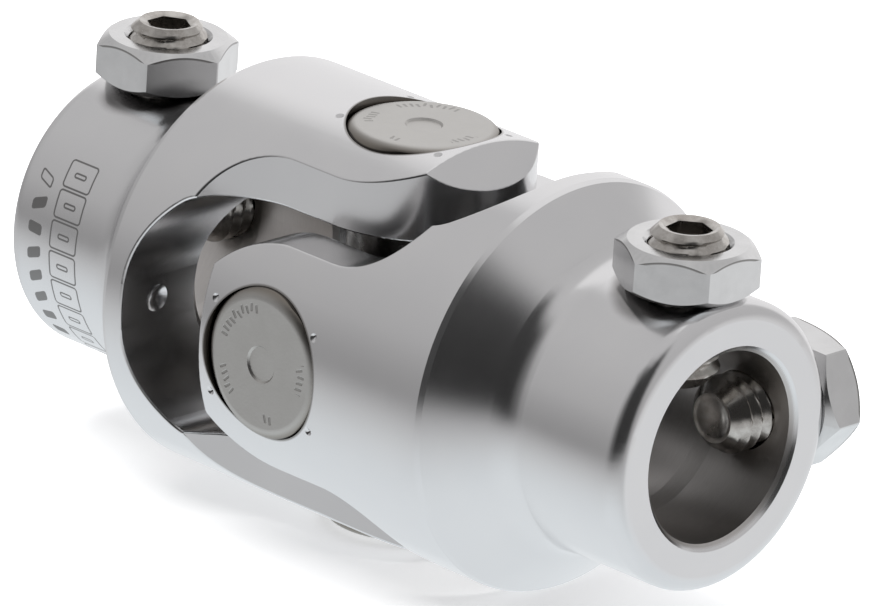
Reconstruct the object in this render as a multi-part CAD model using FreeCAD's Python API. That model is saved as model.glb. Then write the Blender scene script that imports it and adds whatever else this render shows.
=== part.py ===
import FreeCAD, Part
import math
import os

from FreeCAD import Vector

# A single universal joint for a steering shaft: two identical yokes at right angles, a cross
# between them on four needle bearings, and set screws with jam nuts that clamp the shafts.
# Millimetres. +X runs along the shafts to the front yoke's bore, +Z is up, and the origin is
# the centre of the cross. The yoke is modelled once, as the front one, with its ears on Y.

# ---- yoke, turned shape ----
HALF_LENGTH = 42.75
BODY_RADIUS = 21.0
SHOULDER_X = 22.0
SHOULDER_BREAK = 0.35
CONE_DEGREES = 47
HUB_RADIUS = 14.7
HUB_FILLET = 4.0
HUB_EDGE_RADIUS = 1.75
BORE_RADIUS = 9.525
BORE_RELIEF_RADIUS = 9.725
BORE_RELIEF_X = 31.2
BORE_RELIEF_TAPER = 2.0
BORE_MOUTH_CHAMFER = 0.65
BORE_ROOT_CHAMFER = 1.4
EAR_BEVEL_START_X = -8.25
EAR_BEVEL_SLOPE = math.tan(math.radians(50))

# ---- yoke, milled shape ----
EAR_HALF_WIDTH = 11.55
EAR_HEAD_CENTRE_X = 0.25
EAR_TIP_X = EAR_HEAD_CENTRE_X - EAR_HALF_WIDTH
EAR_ROOT_X = 14.7
EAR_ROOT_FILLET = 8.8
GAP_HALF_WIDTH = 12.35
GAP_ROOT_X = 19.5
GAP_ROOT_FLAT = 2.4
GAP_ROOT_RADIUS = 12.0
GAP_CORNER_RADIUS = 4.0
EDGE_BREAK = 0.25
ROOT_DIMPLE_Z = -16.0
ROOT_DIMPLE_RADIUS = 1.4
ROOT_DIMPLE_DEPTH = 0.5

# ---- needle bearings ----
CAP_SEAT_RADIUS = 7.65
CAP_RADIUS = 7.64
CAP_FACE = 20.6
CAP_OPEN_END = 12.9
CAP_CAVITY_END = 18.45
CAP_CAVITY_RADIUS = 6.35
CAP_EDGE_RADIUS = 1.15
CAP_DIMPLE_RADIUS = 1.9
CAP_DIMPLE_DEPTH = 0.2
TRUNNION_RADIUS = 4.34
TRUNNION_END = 18.35
TRUNNION_CHAMFER = 0.5
COLLAR_RADIUS = 6.9
COLLAR_END = 11.5
CROSS_CORE_RADIUS = 9.2
NEEDLE_RADIUS = 0.985
NEEDLE_START = 13.05
NEEDLE_END = 18.25
NEEDLE_COUNT = 16
SEAL_INNER_RADIUS = 4.55
SEAL_OUTER_RADIUS = 7.3
SEAL_START = 11.65
SEAL_END = 12.8
STAKE_RING_RADIUS = 8.45
STAKE_RADIUS = 0.42
STAKE_DEPTH = 0.35
STAKE_DEGREES = (36, 144, 216, 324)

# ---- set screws and jam nuts, 5/16 inch ----
SCREW_X = 36.2
SCREW_HOLE_RADIUS = 4.0
SCREW_RADIUS = 3.94
SCREW_TOP = 20.95
SCREW_LENGTH = 15.8
SCREW_TOP_CHAMFER = 0.95
SCREW_TOP_CHAMFER_LENGTH = 1.0
SCREW_TIP_RADIUS = 2.5
SCREW_TIP_LENGTH = 1.45
CUP_RADIUS = 1.9
CUP_DEPTH = 1.0
SOCKET_ACROSS_FLATS = 3.97
SOCKET_DEPTH = 3.6
NUT_ACROSS_FLATS = 12.7
NUT_THICKNESS = 4.76
NUT_CORNER_RADIUS = 7.28
NUT_FACE_RADIUS = 5.95
NUT_CHAMFER_DEPTH = 0.95
NUT_COUNTERSINK = 0.45
NUT_SEAT_GAP = 0.02

ORIGIN = Vector(0, 0, 0)
X_AXIS = Vector(1, 0, 0)
Y_AXIS = Vector(0, 1, 0)
Z_AXIS = Vector(0, 0, 1)
FAR = 60.0


def wire_of(points, to_space):
    """A closed wire through points: (a, b) ends a line, ((a, b), (a, b)) is an arc's middle and end."""
    edges = []
    start = points[0]
    here = start
    for item in points[1:] + [start]:
        if isinstance(item[0], tuple):
            middle, end = item
            arc = Part.Arc(to_space(*here), to_space(*middle), to_space(*end))
            edges.append(arc.toShape())
            here = end
        elif item != here:
            edges.append(Part.makeLine(to_space(*here), to_space(*item)))
            here = item
    return Part.Wire(edges)


def arc_middle(centre, radius, degrees):
    angle = math.radians(degrees)
    return (centre[0] + radius * math.cos(angle), centre[1] + radius * math.sin(angle))


def turned_about_x(points):
    """A solid of revolution about X from an outline in (x, radius)."""
    face = Part.Face(wire_of(points, lambda x, r: Vector(x, 0, r)))
    return face.revolve(ORIGIN, X_AXIS, 360)


def turned_about_z(points):
    """A solid of revolution about Z from an outline in (radius, z)."""
    face = Part.Face(wire_of(points, lambda r, z: Vector(r, 0, z)))
    return face.revolve(ORIGIN, Z_AXIS, 360)


def hexagon_prism(across_flats, bottom, height):
    corner = across_flats / math.sqrt(3)
    corners = [arc_middle((0, 0), corner, 60 * k) for k in range(6)]
    face = Part.Face(wire_of(corners, lambda x, y: Vector(x, y, bottom)))
    return face.extrude(Z_AXIS * height)


def turned_blank():
    """The bar-turned yoke before milling: bevelled ear end, body, cone and round-edged hub."""
    bevel_end_radius = BODY_RADIUS + (EAR_TIP_X - 1 - EAR_BEVEL_START_X) * EAR_BEVEL_SLOPE
    cone = math.radians(CONE_DEGREES)
    cone_end_x = SHOULDER_X + (BODY_RADIUS - HUB_RADIUS) / math.tan(cone)
    tangent = HUB_FILLET * math.tan(cone / 2)
    fillet_start = (cone_end_x - tangent * math.cos(cone), HUB_RADIUS + tangent * math.sin(cone))
    fillet_end = (cone_end_x + tangent, HUB_RADIUS)
    fillet_centre = (fillet_end[0], HUB_RADIUS + HUB_FILLET)
    fillet_middle = arc_middle(fillet_centre, HUB_FILLET, 270 - CONE_DEGREES / 2)
    edge_centre = (HALF_LENGTH - HUB_EDGE_RADIUS, HUB_RADIUS - HUB_EDGE_RADIUS)
    break_end_x = SHOULDER_X + SHOULDER_BREAK * math.cos(cone)
    return turned_about_x([
        (EAR_TIP_X - 1, 0.0),
        (EAR_TIP_X - 1, bevel_end_radius),
        (EAR_BEVEL_START_X, BODY_RADIUS),
        (SHOULDER_X - SHOULDER_BREAK, BODY_RADIUS),
        (break_end_x, BODY_RADIUS - SHOULDER_BREAK * math.sin(cone)),
        fillet_start,
        (fillet_middle, fillet_end),
        (edge_centre[0], HUB_RADIUS),
        (arc_middle(edge_centre, HUB_EDGE_RADIUS, 45), (HALF_LENGTH, edge_centre[1])),
        (HALF_LENGTH, 0.0),
    ])


def ear_outline():
    """What the side cutters leave, seen along the pin axis: two ears' outline and the body behind."""
    root_arc_centre = (EAR_ROOT_X - EAR_ROOT_FILLET, EAR_HALF_WIDTH + EAR_ROOT_FILLET)
    upper_arc = arc_middle(root_arc_centre, EAR_ROOT_FILLET, -45)
    root_arc_end = (EAR_ROOT_X, root_arc_centre[1])
    points = [
        (EAR_HEAD_CENTRE_X, EAR_HALF_WIDTH),
        (root_arc_centre[0], EAR_HALF_WIDTH),
        (upper_arc, root_arc_end),
        (EAR_ROOT_X, FAR),
        (FAR, FAR),
        (FAR, -FAR),
        (EAR_ROOT_X, -FAR),
        (EAR_ROOT_X, -root_arc_end[1]),
        ((upper_arc[0], -upper_arc[1]), (root_arc_centre[0], -EAR_HALF_WIDTH)),
        (EAR_HEAD_CENTRE_X, -EAR_HALF_WIDTH),
        ((EAR_TIP_X, 0.0), (EAR_HEAD_CENTRE_X, EAR_HALF_WIDTH)),
    ]
    face = Part.Face(wire_of(points, lambda x, z: Vector(x, -FAR, z)))
    return face.extrude(Y_AXIS * 2 * FAR)


def fork_gap():
    """The gap between the ears, milled along Z: a flat root, wide arcs and tighter corners."""
    root_centre = (GAP_ROOT_X - GAP_ROOT_RADIUS, GAP_ROOT_FLAT)
    corner_y = GAP_HALF_WIDTH - GAP_CORNER_RADIUS
    tangent = math.asin((corner_y - GAP_ROOT_FLAT) / (GAP_ROOT_RADIUS - GAP_CORNER_RADIUS))
    corner_x = root_centre[0] + (GAP_ROOT_RADIUS - GAP_CORNER_RADIUS) * math.cos(tangent)
    join_degrees = math.degrees(tangent)
    corner_middle = arc_middle((corner_x, corner_y), GAP_CORNER_RADIUS, (90 + join_degrees) / 2)
    join = arc_middle(root_centre, GAP_ROOT_RADIUS, join_degrees)
    root_middle = arc_middle(root_centre, GAP_ROOT_RADIUS, join_degrees / 2)
    points = [
        (-FAR, GAP_HALF_WIDTH),
        (corner_x, GAP_HALF_WIDTH),
        (corner_middle, join),
        (root_middle, (GAP_ROOT_X, GAP_ROOT_FLAT)),
        (GAP_ROOT_X, -GAP_ROOT_FLAT),
        ((root_middle[0], -root_middle[1]), (join[0], -join[1])),
        ((corner_middle[0], -corner_middle[1]), (corner_x, -GAP_HALF_WIDTH)),
        (-FAR, -GAP_HALF_WIDTH),
    ]
    face = Part.Face(wire_of(points, lambda x, y: Vector(x, y, -FAR)))
    return face.extrude(Z_AXIS * 2 * FAR)


def root_dimple():
    """A shallow round dimple in the gap's flat root, beside the bore."""
    rise = ROOT_DIMPLE_DEPTH
    sphere_radius = (ROOT_DIMPLE_RADIUS ** 2 + rise ** 2) / (2 * rise)
    centre_x = GAP_ROOT_X + rise - sphere_radius
    return Part.makeSphere(sphere_radius, Vector(centre_x, 0, ROOT_DIMPLE_Z))


def shaft_bore():
    """The bore, relieved from the mouth to past the screws, so a shaft they have marked still slides."""
    return turned_about_x([
        (0.0, 0.0),
        (0.0, BORE_RADIUS + BORE_ROOT_CHAMFER),
        (GAP_ROOT_X, BORE_RADIUS + BORE_ROOT_CHAMFER),
        (GAP_ROOT_X + BORE_ROOT_CHAMFER, BORE_RADIUS),
        (BORE_RELIEF_X, BORE_RADIUS),
        (BORE_RELIEF_X + BORE_RELIEF_TAPER, BORE_RELIEF_RADIUS),
        (HALF_LENGTH - BORE_MOUTH_CHAMFER, BORE_RELIEF_RADIUS),
        (HALF_LENGTH + 1, BORE_RELIEF_RADIUS + BORE_MOUTH_CHAMFER + 1),
        (HALF_LENGTH + 1, 0.0),
    ])


def stake_marks():
    """Punch marks round each cap, which hold it in its ear."""
    marks = []
    for side in (1, -1):
        for degrees in STAKE_DEGREES:
            x, z = arc_middle((0, 0), STAKE_RING_RADIUS, degrees)
            surface = math.sqrt(BODY_RADIUS ** 2 - z ** 2)
            tip = Vector(x, side * (surface - STAKE_DEPTH), z)
            marks.append(Part.makeCone(0, 2 * STAKE_RADIUS, 2 * STAKE_DEPTH, tip, Y_AXIS * side))
    return marks


def is_fork_edge(edge):
    """Edges of the ears and of the fork gap that are broken by hand finishing."""
    box = edge.BoundBox
    inside_blank = box.XMax < SHOULDER_X - 1 and box.XMin > EAR_TIP_X - 0.5
    long_enough = edge.Length > 2
    return inside_blank and long_enough


def yoke():
    solid = turned_blank().common(ear_outline()).cut(fork_gap())
    solid = solid.makeFillet(EDGE_BREAK, [edge for edge in solid.Edges if is_fork_edge(edge)])
    pin_bore = Part.makeCylinder(CAP_SEAT_RADIUS, 2 * FAR, Vector(0, -FAR, 0), Y_AXIS)
    solid = solid.cut(shaft_bore()).cut(pin_bore)
    for direction in (Z_AXIS, Y_AXIS):
        hole = Part.makeCylinder(SCREW_HOLE_RADIUS, FAR, Vector(SCREW_X, 0, 0), direction)
        solid = solid.cut(hole)
    return solid.cut(stake_marks() + [root_dimple()]).removeSplitter()


def cross():
    """The forged and ground cross, with its four trunnions on Y and Z."""
    core = Part.makeSphere(CROSS_CORE_RADIUS)
    outline = [
        (0.0, -TRUNNION_END),
        (TRUNNION_RADIUS - TRUNNION_CHAMFER, -TRUNNION_END),
        (TRUNNION_RADIUS, TRUNNION_CHAMFER - TRUNNION_END),
        (TRUNNION_RADIUS, -COLLAR_END),
        (COLLAR_RADIUS, -COLLAR_END),
        (COLLAR_RADIUS, COLLAR_END),
        (TRUNNION_RADIUS, COLLAR_END),
        (TRUNNION_RADIUS, TRUNNION_END - TRUNNION_CHAMFER),
        (TRUNNION_RADIUS - TRUNNION_CHAMFER, TRUNNION_END),
        (0.0, TRUNNION_END),
    ]
    upright = turned_about_z(outline)
    level = turned_about_z(outline)
    level.rotate(ORIGIN, X_AXIS, 90)
    return core.fuse([upright, level]).removeSplitter()


def bearing_cap():
    """A drawn cup on +Z that closes one ear and holds its needles."""
    edge_centre = (CAP_RADIUS - CAP_EDGE_RADIUS, CAP_FACE - CAP_EDGE_RADIUS)
    return turned_about_z([
        (0.0, CAP_CAVITY_END),
        (CAP_CAVITY_RADIUS, CAP_CAVITY_END),
        (CAP_CAVITY_RADIUS, CAP_OPEN_END),
        (CAP_RADIUS, CAP_OPEN_END),
        (CAP_RADIUS, edge_centre[1]),
        (arc_middle(edge_centre, CAP_EDGE_RADIUS, 45), (edge_centre[0], CAP_FACE)),
        (CAP_DIMPLE_RADIUS, CAP_FACE),
        (CAP_DIMPLE_RADIUS - CAP_DIMPLE_DEPTH, CAP_FACE - CAP_DIMPLE_DEPTH),
        (0.0, CAP_FACE - CAP_DIMPLE_DEPTH),
    ])


def needle_rollers():
    """One bearing's full set of loose needles, side by side round the trunnion."""
    ring = (TRUNNION_RADIUS + CAP_CAVITY_RADIUS) / 2
    needles = []
    for k in range(NEEDLE_COUNT):
        x, y = arc_middle((0, 0), ring, 360 * k / NEEDLE_COUNT)
        base = Vector(x, y, NEEDLE_START)
        needles.append(Part.makeCylinder(NEEDLE_RADIUS, NEEDLE_END - NEEDLE_START, base, Z_AXIS))
    return Part.makeCompound(needles)


def seal_ring():
    """The rubber ring that closes a cap's open end against the cross."""
    lip = (SEAL_START + SEAL_END) / 2
    return turned_about_z([
        (SEAL_INNER_RADIUS, SEAL_START),
        (SEAL_OUTER_RADIUS, SEAL_START),
        (SEAL_OUTER_RADIUS, lip),
        (CAP_CAVITY_RADIUS, SEAL_END),
        (SEAL_INNER_RADIUS, SEAL_END),
    ])


def set_screw():
    """A socket set screw with a cup point, on +Z with its tip in the bore."""
    bottom = SCREW_TOP - SCREW_LENGTH
    shank = turned_about_z([
        (0.0, bottom + CUP_DEPTH),
        (CUP_RADIUS, bottom),
        (SCREW_TIP_RADIUS, bottom),
        (SCREW_RADIUS, bottom + SCREW_TIP_LENGTH),
        (SCREW_RADIUS, SCREW_TOP - SCREW_TOP_CHAMFER_LENGTH),
        (SCREW_RADIUS - SCREW_TOP_CHAMFER, SCREW_TOP),
        (0.0, SCREW_TOP),
    ])
    socket = hexagon_prism(SOCKET_ACROSS_FLATS, SCREW_TOP - SOCKET_DEPTH, SOCKET_DEPTH + 1)
    return shank.cut(socket)


def jam_nut():
    """A thin hexagon nut, chamfered on both faces, seated on top of the hub."""
    bottom = HUB_RADIUS + NUT_SEAT_GAP
    top = bottom + NUT_THICKNESS
    hexagon = hexagon_prism(NUT_ACROSS_FLATS, bottom, NUT_THICKNESS)
    turned = turned_about_z([
        (SCREW_HOLE_RADIUS, bottom + NUT_COUNTERSINK),
        (SCREW_HOLE_RADIUS + NUT_COUNTERSINK, bottom),
        (NUT_FACE_RADIUS, bottom),
        (NUT_CORNER_RADIUS, bottom + NUT_CHAMFER_DEPTH),
        (NUT_CORNER_RADIUS, top - NUT_CHAMFER_DEPTH),
        (NUT_FACE_RADIUS, top),
        (SCREW_HOLE_RADIUS + NUT_COUNTERSINK, top),
        (SCREW_HOLE_RADIUS, top - NUT_COUNTERSINK),
    ])
    return hexagon.common(turned)


def facing(shape, about_x_degrees):
    """A copy turned about X from +Z to the bearing or screw's own side."""
    copy = shape.copy()
    copy.rotate(ORIGIN, X_AXIS, about_x_degrees)
    return copy


def fastener(shape, spin_degrees, x, about_x_degrees):
    """A copy spun about its own axis, moved along the shaft and turned to its side."""
    copy = shape.copy()
    copy.rotate(ORIGIN, Z_AXIS, spin_degrees)
    copy.translate(Vector(x, 0, 0))
    copy.rotate(ORIGIN, X_AXIS, about_x_degrees)
    return copy


def parts():
    front_yoke = yoke()
    rear_yoke = front_yoke.copy()
    rear_yoke.rotate(ORIGIN, Z_AXIS, 180)
    rear_yoke.rotate(ORIGIN, X_AXIS, -90)
    made = {"front_yoke": front_yoke, "rear_yoke": rear_yoke, "cross": cross()}
    sides = {"top": 0, "bottom": 180, "near": 90, "far": -90}
    for side, turn in sides.items():
        made[f"bearing_cap_{side}"] = facing(bearing_cap(), turn)
        made[f"needle_rollers_{side}"] = facing(needle_rollers(), turn)
        made[f"seal_ring_{side}"] = facing(seal_ring(), turn)
    # place: distance along X, turn about X, nut spin, socket spin
    places = {
        "front_top": (SCREW_X, 0, 30.5, 10),
        "front_far": (SCREW_X, -90, 10, 25),
        "rear_top": (-SCREW_X, 0, -0.5, 0),
        "rear_far": (-SCREW_X, -90, 12, 40),
    }
    for place, (x, turn, nut_spin, socket_spin) in places.items():
        made[f"set_screw_{place}"] = fastener(set_screw(), socket_spin, x, turn)
        made[f"jam_nut_{place}"] = fastener(jam_nut(), nut_spin, x, turn)
    return made


os.makedirs("parts", exist_ok=True)
for name, shape in parts().items():
    shape.exportStep(f"parts/{name}.step")
    print(name, shape.isValid(), len(shape.Solids), round(shape.Volume, 1))
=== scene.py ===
import math

import bpy
from mathutils import Matrix, Vector


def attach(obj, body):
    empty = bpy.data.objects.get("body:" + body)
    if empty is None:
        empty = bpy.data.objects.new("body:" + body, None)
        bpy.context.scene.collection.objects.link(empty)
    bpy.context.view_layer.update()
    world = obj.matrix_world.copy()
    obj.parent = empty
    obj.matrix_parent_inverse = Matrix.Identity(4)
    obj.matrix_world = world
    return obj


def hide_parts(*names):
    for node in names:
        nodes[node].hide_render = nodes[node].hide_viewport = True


# A steering universal joint on a white table in a light tent. Metres; the shafts run along X.

MM = 0.001

# The yokes and the caps in them.
HUB_RADIUS = 14.7 * MM
BODY_RADIUS = 21.0 * MM
BORE_FINISH_RADIUS = 9.9 * MM
SEAT_RADIUS = 7.65 * MM
CAP_FACE = 20.6 * MM

# The jam nuts.
NUT_TOP = 19.48 * MM
NUT_FACE_RADIUS = 5.95 * MM
NUT_CONE_SLOPE = 1.4

# The set screws, their threads and sockets, and the holes they are in.
SCREW_X = 36.2 * MM
SCREW_TOP = 20.95 * MM
SCREW_LENGTH = 15.8 * MM
HOLE_RADIUS = 4.0 * MM
THREAD_RADIUS = 3.92 * MM
THREAD_DEPTH = 0.62 * MM
THREAD_PITCH = 25.4 / 18 * MM
THREAD_START = 0.227
TOP_RADIUS = 2.98 * MM
TOP_CHAMFER_SLOPE = 0.95
TIP_RADIUS = 2.5 * MM
CUP_RADIUS = 1.9 * MM
CUP_DEPTH = 1.0 * MM
SOCKET_HALF_FLATS = 1.985 * MM
SOCKET_MOUTH_RADIUS = 2.68 * MM
SOCKET_CHAMFER_DEPTH = 0.34 * MM
SOCKET_DEPTH = 3.4 * MM
SOCKET_POINT_DEPTH = 4.0 * MM

# Marks on the steel: the rows etched on the rear hub, and the ring of ticks on each cap,
# in groups given by their middle and half width in degrees.
FRAME_ROW_X = -34.6 * MM
STROKE_ROW_X = -38.7 * MM
TICK_RADIUS = 5.35 * MM
TICK_GROUPS = ((130.0, 34.0), (0.0, 16.0), (-76.0, 8.0), (-150.0, 17.0))

# The table, and where the camera stands: away from the middle, to the right and up.
FLOOR_Z = -21.0 * MM
CAMERA_DISTANCE = 1.16184
CAMERA_RIGHT = 0.002379
CAMERA_UP = 0.001805

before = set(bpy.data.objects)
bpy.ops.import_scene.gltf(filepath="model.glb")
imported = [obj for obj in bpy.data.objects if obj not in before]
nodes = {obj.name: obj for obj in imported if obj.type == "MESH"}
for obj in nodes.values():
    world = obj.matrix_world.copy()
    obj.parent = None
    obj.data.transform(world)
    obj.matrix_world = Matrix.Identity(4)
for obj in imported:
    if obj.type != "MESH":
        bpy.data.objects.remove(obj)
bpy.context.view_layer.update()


# ---------------------------------------------------------------- node tree helpers
class Tree:
    """Short names for the shader nodes that the materials are built from."""

    def __init__(self, tree):
        self.tree = tree
        tree.nodes.clear()

    def add(self, kind, inputs=None, **settings):
        made = self.tree.nodes.new(kind)
        for key, value in settings.items():
            setattr(made, key, value)
        for key, value in (inputs or {}).items():
            self.put(value, made.inputs[key])
        return made

    def put(self, value, socket):
        if isinstance(value, bpy.types.NodeSocket):
            self.tree.links.new(value, socket)
        else:
            socket.default_value = value

    def math(self, operation, *values, clamp=False):
        made = self.add("ShaderNodeMath", operation=operation, use_clamp=clamp)
        for socket, value in zip(made.inputs, values):
            self.put(value, socket)
        return made.outputs[0]

    def ramp(self, value, low, high, start=0.0, end=1.0):
        """A smooth step of value from start at low to end at high."""
        inputs = {"Value": value, "From Min": low, "From Max": high, "To Min": start, "To Max": end}
        made = self.add("ShaderNodeMapRange", inputs, interpolation_type="SMOOTHSTEP")
        return made.outputs["Result"]

    def stops(self, value, low, high, points):
        """Straight lines between (value, level) points."""
        inputs = {"Value": value, "From Min": low, "From Max": high}
        share = self.add("ShaderNodeMapRange", inputs).outputs["Result"]
        made = self.add("ShaderNodeValToRGB", {"Fac": share})
        elements = made.color_ramp.elements
        for k, (at, level) in enumerate(points):
            where = (at - low) / (high - low)
            element = elements[k] if k < 2 else elements.new(where)
            element.position = where
            element.color = (level, level, level, 1)
        return made.outputs["Color"]

    def length(self, a, b):
        """The square root of a squared plus b squared."""
        square = self.math("ADD", self.math("MULTIPLY", a, a), self.math("MULTIPLY", b, b))
        return self.math("SQRT", square)

    def within(self, value, middle, half):
        return self.math("COMPARE", value, middle, half)

    def rounded_box(self, a, b, half_a, half_b, corner):
        """The distance outside a round-cornered box centred on a = b = 0, negative inside."""
        out_a = self.math("SUBTRACT", self.math("ABSOLUTE", a), half_a - corner)
        out_b = self.math("SUBTRACT", self.math("ABSOLUTE", b), half_b - corner)
        past_a = self.math("MAXIMUM", out_a, 0.0)
        past_b = self.math("MAXIMUM", out_b, 0.0)
        inside = self.math("MINIMUM", self.math("MAXIMUM", out_a, out_b), 0.0)
        return self.math("SUBTRACT", self.math("ADD", self.length(past_a, past_b), inside), corner)

    def mix(self, factor, a, b):
        made = self.add("ShaderNodeMix", data_type="RGBA")
        self.put(factor, made.inputs["Factor"])
        self.put(a, made.inputs["A"])
        self.put(b, made.inputs["B"])
        return made.outputs["Result"]

    def xyz(self, vector):
        made = self.add("ShaderNodeSeparateXYZ", {"Vector": vector})
        return made.outputs

    def vector(self, x, y, z):
        return self.add("ShaderNodeCombineXYZ", {"X": x, "Y": y, "Z": z}).outputs[0]

    def noise(self, vector, scale, detail=3.0, roughness=0.5):
        inputs = {"Vector": vector, "Scale": scale, "Detail": detail, "Roughness": roughness}
        return self.add("ShaderNodeTexNoise", inputs).outputs["Fac"]

    def chance(self, index):
        """A random number from 0 to 1 that stays the same for one index."""
        made = self.add("ShaderNodeTexWhiteNoise", {"W": index}, noise_dimensions="1D")
        return made.outputs["Value"]

    def bump(self, height, strength, distance, normal=None):
        inputs = {"Height": height, "Strength": strength, "Distance": distance}
        if normal is not None:
            inputs["Normal"] = normal
        return self.add("ShaderNodeBump", inputs).outputs["Normal"]


def material(name):
    made = bpy.data.materials.new(name)
    made.use_nodes = True
    tree = Tree(made.node_tree)
    shader = tree.add("ShaderNodeBsdfPrincipled")
    output = tree.add("ShaderNodeOutputMaterial")
    tree.tree.links.new(shader.outputs[0], output.inputs["Surface"])
    return made, tree, shader


def paint(objects, made):
    for target in objects:
        target.data.materials.clear()
        target.data.materials.append(made)


def place(tree):
    """The piece's own coordinates, in metres."""
    return tree.add("ShaderNodeTexCoord").outputs["Object"]


def turned_lines(t, position):
    """Fine lines round X, as a lathe and polishing belt leave them, from 0 to 1."""
    x, y, z = t.xyz(position)
    radius = t.length(y, z)
    angle = t.math("ARCTAN2", z, y)
    stretched = t.vector(t.math("MULTIPLY", x, 1000), t.math("MULTIPLY", radius, 1000), angle)
    return t.noise(stretched, 9.0, 4.0, 0.6), radius, angle, x, y, z


# ---------------------------------------------------------------- materials
def yoke_material(name, rear):
    """Bright polished stainless: lathe lines outside, a duller bore, threads in the screw holes."""
    made, t, shader = material(name)
    position = place(t)
    lines, radius, angle, x, y, z = turned_lines(t, position)
    smudge = t.noise(position, 130.0, 4.0, 0.6)
    grain = t.noise(position, 5200.0, 2.0, 0.5)
    in_bore = t.ramp(radius, BORE_FINISH_RADIUS + 0.3 * MM, BORE_FINISH_RADIUS, 0.0, 1.0)
    off_pin = y if rear else z
    from_pin = t.length(x, off_pin)
    # Painted shade in the groove round each cap: a thin ring of the yoke at the cap's seat.
    seat_ring_shade = t.ramp(from_pin, SEAT_RADIUS + 0.03 * MM, SEAT_RADIUS + 0.28 * MM, 1.0, 0.0)

    along = t.math("SUBTRACT", t.math("ABSOLUTE", x), SCREW_X)
    hole_marks = []
    for across, depth in ((y, z), (z, y)):
        in_hole = t.math("LESS_THAN", t.length(along, across), HOLE_RADIUS + 0.05 * MM)
        in_hole = t.math("MULTIPLY", in_hole, t.math("GREATER_THAN", depth, 7 * MM))
        turn = t.math("DIVIDE", t.math("ARCTAN2", across, along), 2 * math.pi)
        turns = t.math("DIVIDE", depth, THREAD_PITCH)
        wave = t.math("PINGPONG", t.math("SUBTRACT", turns, turn), 0.5)
        hole_marks.append((in_hole, wave))
    in_hole = t.math("MAXIMUM", hole_marks[0][0], hole_marks[1][0])
    thread = t.math(
        "ADD",
        t.math("MULTIPLY", hole_marks[0][0], hole_marks[0][1]),
        t.math("MULTIPLY", hole_marks[1][0], hole_marks[1][1]),
    )

    bright = t.mix(smudge, (0.70, 0.70, 0.71, 1), (0.77, 0.765, 0.765, 1))
    dull = t.mix(lines, (0.50, 0.48, 0.465, 1), (0.62, 0.60, 0.585, 1))
    colour = t.mix(in_bore, bright, dull)
    # Painted shade on the hubs round the jam nuts, where the nuts' shadow and dark reflection fall.
    nut_shade_amount = t.math("MULTIPLY", painted_nut_shade(t, x, y, z, smudge), 0.7)
    colour = t.mix(nut_shade_amount, colour, (0.16, 0.15, 0.145, 1))
    colour = t.mix(t.math("MULTIPLY", in_hole, 0.7), colour, (0.42, 0.38, 0.34, 1))
    # Painted shade round the caps' seats.
    colour = t.mix(t.math("MULTIPLY", seat_ring_shade, 0.8), colour, (0.17, 0.155, 0.14, 1))

    roughness = t.math("ADD", t.math("MULTIPLY", lines, 0.07), t.math("MULTIPLY", smudge, 0.10))
    roughness = t.math("ADD", roughness, t.math("MULTIPLY", in_bore, 0.16))
    roughness = t.math("ADD", roughness, 0.12)

    if rear:
        outside = t.math("GREATER_THAN", radius, HUB_RADIUS - 0.7 * MM)
        etch = t.math("MULTIPLY", etched_rows(t, x, angle), outside)
        colour = t.mix(t.math("MULTIPLY", etch, 0.75), colour, (0.13, 0.125, 0.12, 1))
        roughness = t.math("ADD", roughness, t.math("MULTIPLY", etch, 0.25))

    t.put(colour, shader.inputs["Base Color"])
    t.put(roughness, shader.inputs["Roughness"])
    shader.inputs["Metallic"].default_value = 1.0
    height = t.math("ADD", t.math("MULTIPLY", lines, 0.6), t.math("MULTIPLY", grain, 0.4))
    fine = t.bump(height, 0.10, 0.00002)
    t.put(t.bump(thread, 1.0, 0.0007, fine), shader.inputs["Normal"])
    return made


def painted_nut_shade(t, x, y, z, smudge):
    """Painted shade on the hubs round the jam nuts, standing in for each nut's shadow and dark
    reflection, less towards the hub's end, from 0 to 1.
    """
    along = t.math("SUBTRACT", t.math("ABSOLUTE", x), SCREW_X)
    on_hub = t.math("GREATER_THAN", t.length(y, z), HUB_RADIUS - 0.2 * MM)
    on_hub = t.math("MULTIPLY", on_hub, t.ramp(along, 1.5 * MM, 4.0 * MM, 1.0, 0.0))
    found = None
    for across, depth in ((y, z), (z, y)):
        reach = t.math("SUBTRACT", t.length(along, across), t.math("MULTIPLY", smudge, 1.0 * MM))
        mask = t.ramp(reach, 5.8 * MM, 7.2 * MM, 1.0, 0.0)
        mask = t.math("MULTIPLY", mask, t.math("GREATER_THAN", depth, 11 * MM))
        mask = t.math("MULTIPLY", mask, on_hub)
        found = mask if found is None else t.math("MAXIMUM", found, mask)
    return found


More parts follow.
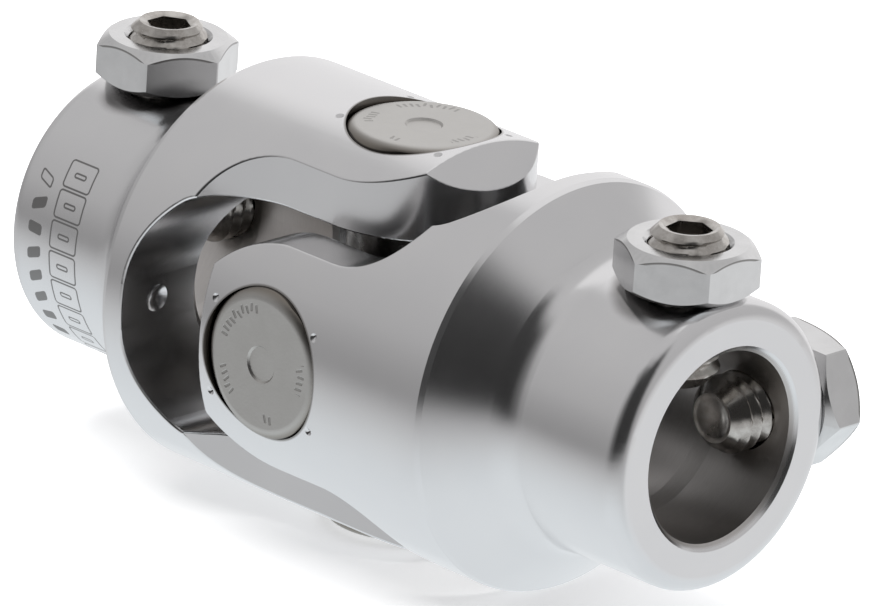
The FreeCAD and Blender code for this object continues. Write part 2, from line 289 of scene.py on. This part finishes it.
def etched_rows(t, x, angle):
    """Plain etched marks on the rear hub's near side: a row of frames, a row of strokes."""
    turned = t.math("WRAP", t.math("ADD", angle, math.pi), math.pi, -math.pi)
    around = t.math("MULTIPLY", turned, -HUB_RADIUS)
    pitch = 3.2 * MM
    shifted = t.math("ADD", around, 0.2 * MM)
    cell = t.math("SUBTRACT", t.math("WRAP", shifted, pitch, 0.0), pitch / 2)
    across = t.math("SUBTRACT", x, FRAME_ROW_X)
    outline = t.math("ABSOLUTE", t.rounded_box(across, cell, 1.85 * MM, 1.42 * MM, 0.35 * MM))
    bar = t.math("ABSOLUTE", t.rounded_box(across, cell, 0.75 * MM, 0.22 * MM, 0.2 * MM))
    frames = t.ramp(t.math("MINIMUM", outline, bar), 0.06 * MM, 0.13 * MM, 1.0, 0.0)
    frames = t.math("MULTIPLY", frames, t.within(around, -3.4 * MM, 12.8 * MM))

    pitch = 2.6 * MM
    index = t.math("FLOOR", t.math("DIVIDE", around, pitch))
    chance = t.chance(index)
    cell = t.math("SUBTRACT", t.math("WRAP", around, pitch, 0.0), pitch / 2)
    across = t.math("SUBTRACT", x, STROKE_ROW_X)
    stroke = t.math("ADD", cell, t.math("MULTIPLY", across, t.math("SUBTRACT", chance, 0.5)))
    strokes = t.rounded_box(across, stroke, 0.85 * MM, 0.5 * MM, 0.25 * MM)
    filled = t.math("MULTIPLY", t.math("GREATER_THAN", chance, 0.6), -0.14 * MM)
    strokes = t.math("ABSOLUTE", t.math("MAXIMUM", strokes, filled))
    strokes = t.ramp(strokes, 0.05 * MM, 0.14 * MM, 1.0, 0.0)
    strokes = t.math("MULTIPLY", strokes, t.within(around, -2.6 * MM, 10.4 * MM))
    return t.math("MAXIMUM", frames, strokes)


def cap_material(name, turn):
    """Pressed steel cup: grey satin, stamped ticks, an outer edge darkened with painted shade, and
    a line of painted shade where the cup sits below the ear.
    """
    made, t, shader = material(name)
    inputs = {"Vector": place(t), "Rotation": turn}
    local = t.add("ShaderNodeMapping", inputs, vector_type="POINT").outputs[0]
    x, y, z = t.xyz(local)
    radius = t.length(x, y)
    angle = t.math("ARCTAN2", y, x)
    patches = t.noise(local, 420.0, 5.0, 0.6)
    grain = t.noise(local, 3200.0, 2.0, 0.5)

    ticks_per_radian = 8.3
    steps = t.math("MULTIPLY", angle, ticks_per_radian)
    chance = t.chance(t.math("FLOOR", steps))
    along = t.math("DIVIDE", t.math("SUBTRACT", t.math("FRACT", steps), 0.5), ticks_per_radian)
    along = t.math("MULTIPLY", along, 5.5 * MM)
    tick_row = t.math("ADD", TICK_RADIUS, t.math("MULTIPLY", chance, 0.4 * MM))
    outward = t.math("SUBTRACT", radius, tick_row)
    slope = t.math("MULTIPLY", t.math("SUBTRACT", chance, 0.5), 0.5)
    lean = t.math("ADD", along, t.math("MULTIPLY", outward, slope))
    from_tick = t.rounded_box(outward, lean, 0.38 * MM, 0.09 * MM, 0.05 * MM)
    tick = t.ramp(from_tick, 0.0, 0.08 * MM, 1.0, 0.0)
    grouped = None
    for middle, half in TICK_GROUPS:
        offset = t.math("WRAP", t.math("SUBTRACT", angle, math.radians(middle)), math.pi, -math.pi)
        group = t.math("LESS_THAN", t.math("ABSOLUTE", offset), math.radians(half))
        grouped = group if grouped is None else t.math("MAXIMUM", grouped, group)
    on_face = t.math("GREATER_THAN", z, CAP_FACE - 0.1 * MM)
    tick = t.math("MULTIPLY", tick, t.math("MULTIPLY", grouped, on_face))

    # Painted shade on the cap's rounded outer edge: brown darkening towards the edge, all the way
    # round.
    rim_shade = t.ramp(radius, 6.6 * MM, 7.6 * MM)
    face = t.mix(patches, (0.47, 0.46, 0.44, 1), (0.60, 0.59, 0.57, 1))
    colour = t.mix(t.math("MULTIPLY", rim_shade, 0.85), face, (0.20, 0.175, 0.145, 1))
    colour = t.mix(t.math("MULTIPLY", tick, 0.45), colour, (0.16, 0.15, 0.14, 1))
    # Painted shade, nearly black, where the cup sinks below the ear's surface.
    ear = t.math("SQRT", t.math("SUBTRACT", BODY_RADIUS ** 2, t.math("MULTIPLY", y, y)))
    seam_shade = t.ramp(t.math("SUBTRACT", z, ear), 0.12 * MM, 0.26 * MM, 1.0, 0.0)
    seam_shade = t.math("MULTIPLY", seam_shade, t.math("GREATER_THAN", radius, SEAT_RADIUS - 0.2 * MM))
    colour = t.mix(seam_shade, colour, (0.05, 0.045, 0.04, 1))
    t.put(colour, shader.inputs["Base Color"])
    roughness = t.math("ADD", t.math("MULTIPLY", patches, 0.16), 0.30)
    t.put(roughness, shader.inputs["Roughness"])
    shader.inputs["Metallic"].default_value = 1.0
    height = t.math("SUBTRACT", t.math("MULTIPLY", grain, 0.12), t.math("MULTIPLY", tick, 1.0))
    t.put(t.bump(height, 0.5, 0.00015), shader.inputs["Normal"])
    return made


def steel_material(name, dark, light, low, high, scale, bump):
    """Plain machined or plated steel with mottled tone and fine grain."""
    made, t, shader = material(name)
    position = place(t)
    patches = t.noise(position, scale, 5.0, 0.6)
    grain = t.noise(position, 4200.0, 2.0, 0.5)
    t.put(t.mix(t.ramp(patches, 0.3, 0.7), dark, light), shader.inputs["Base Color"])
    t.put(t.ramp(patches, 0.3, 0.7, high, low), shader.inputs["Roughness"])
    shader.inputs["Metallic"].default_value = 1.0
    t.put(t.bump(grain, bump, 0.00002), shader.inputs["Normal"])
    return made


def nut_material(name, far):
    """Plated nut: fine mottling, and a painted dark line of shade where the top chamfer cuts each
    side.
    """
    made, t, shader = material(name)
    position = place(t)
    patches = t.ramp(t.noise(position, 300.0, 5.0, 0.6), 0.3, 0.7)
    grain = t.noise(position, 4200.0, 2.0, 0.5)
    x, y, z = t.xyz(position)
    across, depth = (z, y) if far else (y, z)
    along = t.math("SUBTRACT", t.math("ABSOLUTE", x), SCREW_X)
    from_axis = t.length(along, across)
    cone = t.math("MULTIPLY", t.math("SUBTRACT", NUT_TOP, depth), NUT_CONE_SLOPE)
    # Painted shade: a thin dark line on each side, just short of the top chamfer's edge.
    past = t.math("SUBTRACT", from_axis, t.math("ADD", cone, NUT_FACE_RADIUS))
    fade_in = t.ramp(past, -0.42 * MM, -0.2 * MM)
    fade_out = t.ramp(past, -0.06 * MM, 0.0, 1.0, 0.0)
    chamfer_line_shade = t.math("MULTIPLY", fade_in, fade_out)
    on_top = t.math("GREATER_THAN", depth, NUT_TOP - 0.9 * MM)
    off_axis = t.math("GREATER_THAN", from_axis, 6.2 * MM)
    chamfer_line_shade = t.math("MULTIPLY", t.math("MULTIPLY", chamfer_line_shade, off_axis), on_top)
    colour = t.mix(patches, (0.66, 0.66, 0.66, 1), (0.71, 0.71, 0.71, 1))
    colour = t.mix(t.math("MULTIPLY", chamfer_line_shade, 0.75), colour, (0.12, 0.11, 0.10, 1))
    t.put(colour, shader.inputs["Base Color"])
    t.put(t.math("SUBTRACT", 0.22, t.math("MULTIPLY", patches, 0.06)), shader.inputs["Roughness"])
    shader.inputs["Metallic"].default_value = 1.0
    t.put(t.bump(grain, 0.06, 0.00002), shader.inputs["Normal"])
    return made


def rubber_material():
    made, t, shader = material("seal_rubber")
    dust = t.noise(place(t), 900.0, 4.0, 0.6)
    colour = t.mix(dust, (0.012, 0.012, 0.012, 1), (0.035, 0.034, 0.032, 1))
    t.put(colour, shader.inputs["Base Color"])
    t.put(t.ramp(dust, 0.2, 0.8, 0.55, 0.8), shader.inputs["Roughness"])
    t.put(t.bump(dust, 0.3, 0.00005), shader.inputs["Normal"])
    return made


quarter = math.pi / 2
cap_turns = {
    "top": (0, 0, 0),
    "bottom": (math.pi, 0, 0),
    "near": (-quarter, 0, 0),
    "far": (quarter, 0, 0),
}
paint([nodes["front_yoke"]], yoke_material("front_yoke_steel", False))
paint([nodes["rear_yoke"]], yoke_material("rear_yoke_steel", True))
for side, turn in cap_turns.items():
    paint([nodes[f"bearing_cap_{side}"]], cap_material(f"cap_steel_{side}", turn))
ground = steel_material(
    "ground_steel", (0.10, 0.095, 0.09, 1), (0.24, 0.23, 0.22, 1), 0.22, 0.38, 500.0, 0.1,
)
nut_steel = {False: nut_material("nut_steel_top", False), True: nut_material("nut_steel_far", True)}
screw_steel = steel_material(
    "screw_steel", (0.40, 0.375, 0.35, 1), (0.58, 0.56, 0.53, 1), 0.16, 0.28, 600.0, 0.10,
)
rubber = rubber_material()
for name, target in nodes.items():
    if name == "cross" or name.startswith("needle_rollers"):
        paint([target], ground)
    elif name.startswith("jam_nut"):
        paint([target], nut_steel[name.endswith("far")])
    elif name.startswith("seal_ring"):
        paint([target], rubber)
    elif name.startswith("set_screw"):
        paint([target], screw_steel)


# ---------------------------------------------------------------- threaded set screws
def thread_radius(angle, height):
    """The radius of a right-hand thread, cut away by the top chamfer and the tip's cone.

    Crests and roots are flat, with straight flanks between them.
    """
    phase = (height / THREAD_PITCH - angle / (2 * math.pi) - THREAD_START) % 1.0
    crest = abs(phase - 0.5) * 2
    cut = THREAD_RADIUS - THREAD_DEPTH * min(1.0, max(0.0, 1.15 * crest - 0.08))
    from_top = SCREW_TOP - height
    from_tip = height - (SCREW_TOP - SCREW_LENGTH)
    return min(cut, TOP_RADIUS + TOP_CHAMFER_SLOPE * from_top, TIP_RADIUS + from_tip)


def set_screw(name, body, x, about_x, spin):
    """A socket set screw with a real thread, on +Z before it is turned to its side."""
    around, step = 64, THREAD_PITCH / 10
    tip = SCREW_TOP - SCREW_LENGTH
    rows = int(SCREW_LENGTH / step)
    verts, faces = [], []

    def ring(radius_of, height_of):
        start = len(verts)
        for k in range(around):
            angle = 2 * math.pi * k / around
            r, h = radius_of(angle), height_of(angle)
            verts.append((r * math.cos(angle), r * math.sin(angle), h))
        return start

    def bridge(a, b):
        for k in range(around):
            n = (k + 1) % around
            faces.append((a + k, a + n, b + n, b + k))

    def close(a, height, flip):
        verts.append((0.0, 0.0, height))
        centre = len(verts) - 1
        for k in range(around):
            n = (k + 1) % around
            faces.append((a + n, a + k, centre) if flip else (a + k, a + n, centre))

    def hexagon(angle):
        local = (angle - spin + math.pi / 6) % (math.pi / 3) - math.pi / 6
        return SOCKET_HALF_FLATS / math.cos(local)

    cup = ring(lambda a: CUP_RADIUS, lambda a: tip + 0.03 * MM)
    close(cup, tip + CUP_DEPTH, True)
    below = ring(lambda a: TIP_RADIUS - 0.05 * MM, lambda a: tip)
    bridge(cup, below)
    for k in range(rows + 1):
        height = tip + SCREW_LENGTH * k / rows
        here = ring(lambda a: thread_radius(a, height), lambda a: height)
        bridge(below, here)
        below = here
    for radius_of, height in (
        (lambda a: SOCKET_MOUTH_RADIUS, SCREW_TOP),
        (hexagon, SCREW_TOP - SOCKET_CHAMFER_DEPTH),
        (hexagon, SCREW_TOP - SOCKET_DEPTH),
    ):
        here = ring(radius_of, lambda a: height)
        bridge(below, here)
        below = here
    close(below, SCREW_TOP - SOCKET_POINT_DEPTH, False)

    mesh = bpy.data.meshes.new(name)
    mesh.from_pydata(verts, [], faces)
    turn = Matrix.Rotation(about_x, 4, "X") @ Matrix.Translation((x, 0, 0))
    mesh.transform(turn)
    mesh.polygons.foreach_set("use_smooth", [True] * len(mesh.polygons))
    mesh.set_sharp_from_angle(angle=math.radians(40))
    mesh.update()
    made = bpy.data.objects.new(name, mesh)
    bpy.context.scene.collection.objects.link(made)
    mesh.materials.append(screw_steel)
    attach(made, body)
    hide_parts(f"set_screw_{body[len('screw_'):]}")
    return made


for place_name, x, about_x, spin_degrees in (
    ("front_top", SCREW_X, 0.0, 10),
    ("front_far", SCREW_X, -quarter, 25),
    ("rear_top", -SCREW_X, 0.0, 0),
    ("rear_far", -SCREW_X, -quarter, 40),
):
    spin = math.radians(spin_degrees)
    set_screw(f"threaded_screw_{place_name}", f"screw_{place_name}", x, about_x, spin)


# ---------------------------------------------------------------- table, light and camera
def plane(name, size, z):
    half = size / 2
    mesh = bpy.data.meshes.new(name)
    corners = [(-half, -half, z), (half, -half, z), (half, half, z), (-half, half, z)]
    mesh.from_pydata(corners, [], [(0, 1, 2, 3)])
    made = bpy.data.objects.new(name, mesh)
    bpy.context.scene.collection.objects.link(made)
    return made


floor = plane("table", 8.0, FLOOR_Z - 0.02 * MM)
made, t, shader = material("table_white")
speckle = t.noise(place(t), 60.0, 4.0, 0.6)
t.put(t.mix(speckle, (0.86, 0.86, 0.865, 1), (0.90, 0.90, 0.90, 1)), shader.inputs["Base Color"])
t.put(t.mix(speckle, (0.97, 0.98, 1.0, 1), (1.0, 1.0, 1.0, 1)), shader.inputs["Emission Color"])
shader.inputs["Emission Strength"].default_value = 0.5
shader.inputs["Roughness"].default_value = 0.9
paint([floor], made)
floor.visible_glossy = False


def light_tent():
    """White walls and table with a dim line where they meet, and a dark opening in front."""
    world = bpy.data.worlds.new("light_tent")
    bpy.context.scene.world = world
    world.use_nodes = True
    t = Tree(world.node_tree)
    direction = t.add("ShaderNodeTexCoord").outputs["Generated"]
    x, y, z = t.xyz(direction)
    bearing = t.math("DEGREES", t.math("ARCTAN2", x, t.math("MULTIPLY", y, -1.0)))
    height = t.math("DEGREES", t.math("ARCSINE", z))

    near_side = t.stops(height, -90.0, 90.0, [
        (-90, 0.97), (-50, 0.937), (-41, 0.889), (-32, 0.814), (-21, 0.643), (-9, 0.341),
        (3, 0.43), (15, 0.53), (27, 0.552), (45, 0.604), (90, 0.62),
    ])
    far_side = t.stops(height, -90.0, 90.0, [
        (-90, 0.95), (-30, 0.92), (-20, 0.87), (-8, 0.72), (5, 0.56), (90, 0.62),
    ])
    level = t.add("ShaderNodeMix", data_type="FLOAT")
    t.put(t.ramp(bearing, 85.0, 112.0), level.inputs["Factor"])
    t.put(near_side, level.inputs["A"])
    t.put(far_side, level.inputs["B"])
    level = level.outputs["Result"]
    left_lamp = t.math("MAXIMUM", t.ramp(bearing, -85.0, -125.0), t.ramp(bearing, 165.0, 180.0))
    level = t.math("MAXIMUM", level, t.math("MULTIPLY", left_lamp, 0.95))
    opening = t.stops(bearing, -180.0, 180.0, [
        (-42, 0.0), (-28, 0.22), (-16, 0.6), (-3, 0.77), (10, 0.92), (70, 0.92), (85, 0.0),
    ])
    opening = t.math("MULTIPLY", opening, t.ramp(height, -14.0, -4.0))
    opening = t.math("MULTIPLY", opening, t.ramp(height, 50.0, 70.0, 1.0, 0.0))
    level = t.math("MULTIPLY", level, t.math("SUBTRACT", 1.0, opening))
    warm = t.ramp(height, -45.0, -5.0)
    colour = t.mix(warm, (0.955, 1.0, 1.03, 1), (1.0, 0.99, 0.995, 1))
    background = t.add("ShaderNodeBackground", {"Color": colour, "Strength": level})
    output = t.add("ShaderNodeOutputWorld")
    t.tree.links.new(background.outputs[0], output.inputs["Surface"])


light_tent()


def softbox(name, location, target, size, power):
    data = bpy.data.lights.new(name, "AREA")
    data.shape = "RECTANGLE"
    data.size, data.size_y = size
    data.energy = power
    made = bpy.data.objects.new(name, data)
    bpy.context.scene.collection.objects.link(made)
    made.location = location
    made.rotation_mode = "QUATERNION"
    made.rotation_quaternion = (Vector(target) - Vector(location)).to_track_quat("-Z", "Y")
    made.visible_glossy = False
    return made


softbox("overhead", (0.0, 0.0, 1.4), (0, 0, 0), (1.8, 1.8), 34.0)

# The camera stands 44 degrees round from the near side and 20 up, and leans by nearly 4.
azimuth, elevation, roll = math.radians(43.992), math.radians(20.22), math.radians(3.727)
level_back = Vector((math.sin(azimuth), -math.cos(azimuth), 0))
back = level_back * math.cos(elevation) + Vector((0, 0, math.sin(elevation)))
level_right = Vector((math.cos(azimuth), math.sin(azimuth), 0))
level_up = back.cross(level_right)
right = math.cos(roll) * level_right + math.sin(roll) * level_up
up = math.cos(roll) * level_up - math.sin(roll) * level_right
camera_data = bpy.data.cameras.new("camera")
camera_data.sensor_width = 36.0
camera_data.lens = 488.65
camera_data.clip_start, camera_data.clip_end = 0.1, 20.0
camera = bpy.data.objects.new("camera", camera_data)
bpy.context.scene.collection.objects.link(camera)
axes = Matrix((right, up, back)).transposed().to_4x4()
stand = back * CAMERA_DISTANCE + right * CAMERA_RIGHT + up * CAMERA_UP
camera.matrix_world = Matrix.Translation(stand) @ axes
bpy.context.scene.camera = camera
bpy.context.scene.view_settings.view_transform = "Standard"
